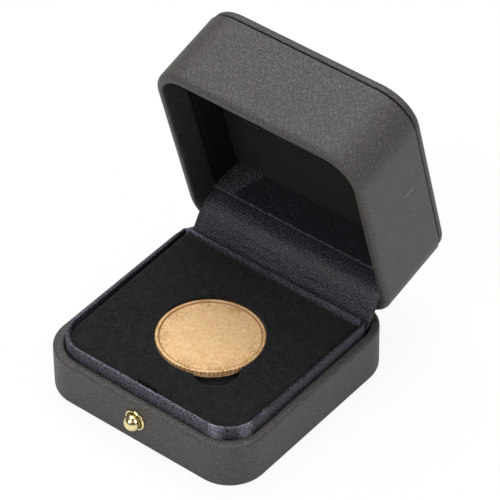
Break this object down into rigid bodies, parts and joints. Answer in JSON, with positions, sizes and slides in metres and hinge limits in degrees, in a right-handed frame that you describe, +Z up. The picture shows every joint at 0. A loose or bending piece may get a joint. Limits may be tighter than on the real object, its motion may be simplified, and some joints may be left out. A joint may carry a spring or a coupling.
{
  "type": "coin display box",
  "caption": "Square leatherette display box with a sprung hinged lid, a push button and a padded tray that holds a single coin in a round recess with a finger notch.",
  "frame": {"origin": "middle of the base's underside", "axes": "+X to the right seen from the front, -Y to the front where the button is, +Z up"},
  "size_m": [0.089, 0.1243, 0.1117],
  "materials": {
    "leatherette": "matt fine grain",
    "satin": "satin weave",
    "velvet": "velvet pile",
    "suede": "matt suede",
    "lining": "matt lining paper",
    "gold": "polished",
    "steel": "zinc plated",
    "black_steel": "blackened",
    "bronze": "mottled matt bronze",
    "card": "grey board",
    "moulding": "matt black",
    "foam": "open foam"
  },
  "bodies": {
    "base": {"base_shell": "moulding", "base_wrap": "leatherette", "bottom_board": "lining", "collar_frame": "card", "collar_satin": "satin", "pad_spacer": "foam", "coin_bed": "velvet", "pad_board": "card", "pad_velvet": "velvet", "button_bezel": "gold", "bezel_washer": "steel", "button_spring": "steel", "hinge_base_leaf": "steel", "hinge_pin": "steel", "hinge_springs": "steel", "base_leaf_rivets": "steel", "hinge_strip": "satin"},
    "lid": {"lid_shell": "moulding", "lid_wrap": "leatherette", "top_panel_board": "card", "top_panel_wrap": "leatherette", "lid_side_lining": "lining", "lid_pad_foam": "foam", "lid_pad_cover": "suede", "lid_rear_card": "card", "lid_rear_satin": "satin", "hinge_lid_leaf": "steel", "lid_leaf_rivets": "steel", "strike_plate": "black_steel", "strike_rivets": "black_steel"},
    "button": {"push_button": "gold", "catch_plate": "black_steel", "stem_clip": "steel"},
    "coin": {"coin": "bronze"}
  },
  "joints": [
    {"name": "lid_hinge", "type": "hinge", "parent": "base", "child": "lid", "pos_m": [0, 0.0422, 0.0201], "axis": [1, 0, 0], "range_deg": [0, 75], "stiffness_Nm_per_rad": 0.03, "springref_deg": -22.92, "deforming": ["hinge_strip"]},
    {"name": "button_press", "type": "slide", "parent": "base", "child": "button", "axis": [0, 1, 0], "range_m": [0, 0.0009], "stiffness_N_per_m": 400, "springref_m": -0.0015, "deforming": ["button_spring"]},
    {"name": "coin_lift", "type": "slide", "parent": "base", "child": "coin", "axis": [0, 0, 1], "range_m": [0, 0.015]}
  ]
}
